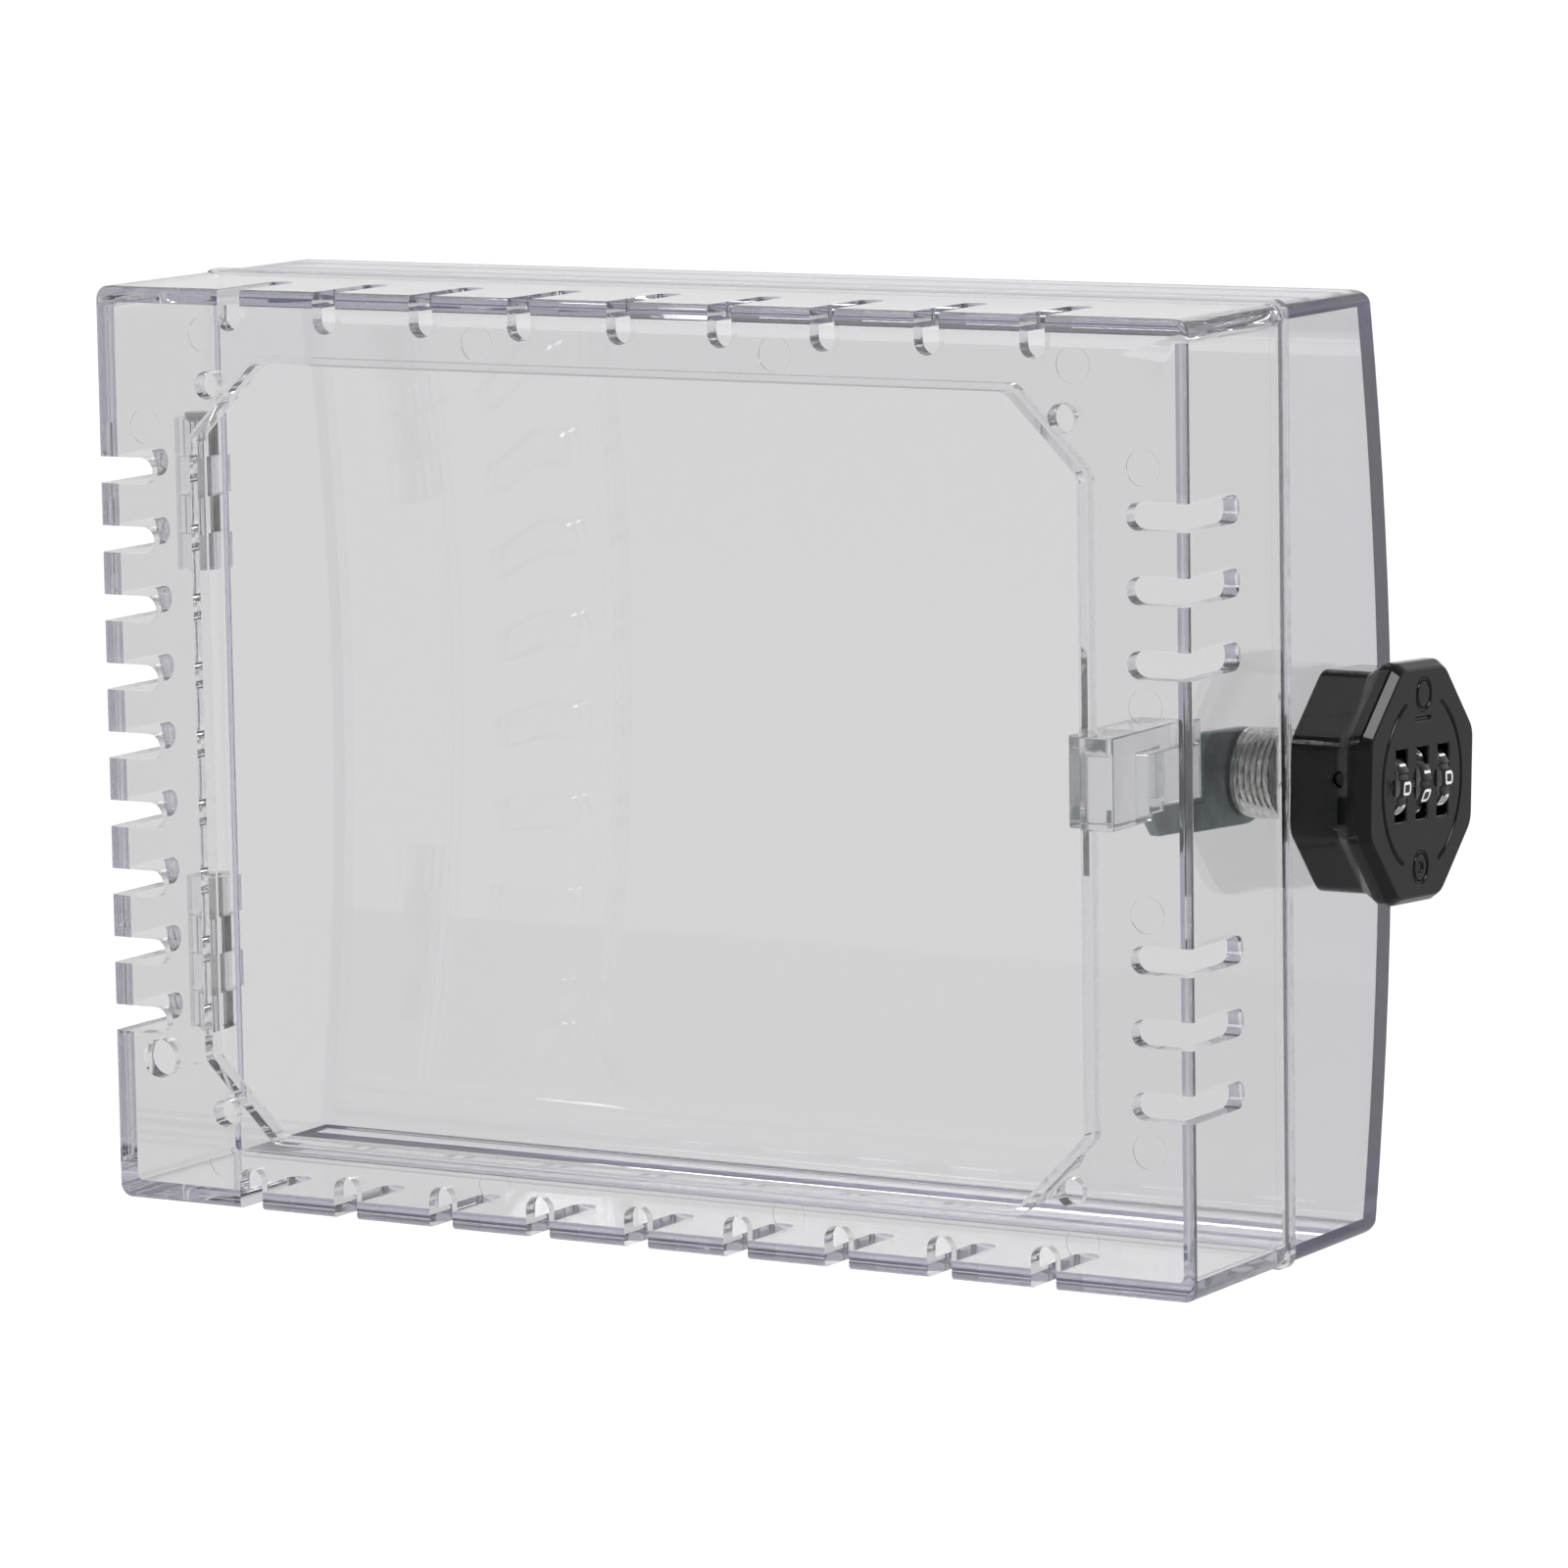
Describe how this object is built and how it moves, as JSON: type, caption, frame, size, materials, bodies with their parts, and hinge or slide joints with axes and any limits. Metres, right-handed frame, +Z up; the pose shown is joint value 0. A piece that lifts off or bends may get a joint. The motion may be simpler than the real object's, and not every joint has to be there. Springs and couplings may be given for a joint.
{
  "type": "thermostat lock box",
  "caption": "Clear wall-mounted guard box with vented base, bowed hinged cover and a combination lock knob on its side.",
  "frame": {"origin": "centre of the pattern of four wall screws, on the back face that lies against the wall", "axes": "+Y into the wall, -Y out of the front, +Z up, +X to the hinge side and -X to the lock side"},
  "size_m": [0.2466, 0.0752, 0.1662],
  "materials": {
    "clear_base": "clear, polished",
    "clear_cover": "clear, polished",
    "clear_keeper": "clear, slightly frosted",
    "pin_steel": "drawn steel",
    "barrel_metal": "bright plated",
    "spindle_metal": "turned",
    "washer_steel": "sprung steel",
    "cam_metal": "zinc plated",
    "screw_steel": "zinc plated",
    "knob_black": "black, polished",
    "knob_inner": "black, matte",
    "spring_steel": "sprung steel",
    "bar_metal": "pressed steel",
    "dial_black": "black with white digits",
    "sleeve_brass": "turned",
    "pin_black": "black, matte"
  },
  "bodies": {
    "base": {"base_tray": "clear_base", "latch_keeper": "clear_keeper", "hinge_pin_upper": "pin_steel", "hinge_pin_lower": "pin_steel"},
    "cover": {"cover_shell": "clear_cover", "lock_barrel": "barrel_metal", "retaining_washer": "washer_steel"},
    "knob": {"spindle": "spindle_metal", "cam_plate": "cam_metal", "cam_washer": "screw_steel", "cam_screw": "screw_steel", "knob_body": "knob_black", "knob_bezel": "knob_black", "knob_back": "knob_inner", "knob_screw_left": "screw_steel", "knob_screw_right": "screw_steel", "dial_axle": "pin_steel", "lock_bar": "bar_metal", "lock_bar_spring": "spring_steel", "detent_spring": "spring_steel"},
    "dial_one": {"dial_1": "dial_black", "dial_sleeve_1": "sleeve_brass"},
    "dial_two": {"dial_2": "dial_black", "dial_sleeve_2": "sleeve_brass"},
    "dial_three": {"dial_3": "dial_black", "dial_sleeve_3": "sleeve_brass"},
    "reset": {"reset_pin": "pin_black"}
  },
  "joints": [
    {"name": "cover_swing", "type": "hinge", "parent": "base", "child": "cover", "pos_m": [0.11415, -0.0365, 0], "axis": [0, 0, 1], "range_deg": [0, 160]},
    {"name": "lock_turn", "type": "hinge", "parent": "cover", "child": "knob", "pos_m": [-0.11, -0.0516, 0], "axis": [1, 0, 0], "range_deg": [-78, 13]},
    {"name": "dial_turn_1", "type": "hinge", "parent": "knob", "child": "dial_one", "pos_m": [-0.1217, -0.0516, 0], "axis": [0, 0.9984, 0.0558], "continuous": true},
    {"name": "dial_turn_2", "type": "hinge", "parent": "knob", "child": "dial_two", "pos_m": [-0.1217, -0.0516, 0], "axis": [0, 0.9984, 0.0558], "continuous": true},
    {"name": "dial_turn_3", "type": "hinge", "parent": "knob", "child": "dial_three", "pos_m": [-0.1217, -0.0516, 0], "axis": [0, 0.9984, 0.0558], "continuous": true},
    {"name": "reset_press", "type": "slide", "parent": "knob", "child": "reset", "axis": [0, -0.9984, -0.0558], "range_m": [0, 0.0012], "stiffness_N_per_m": 200}
  ]
}
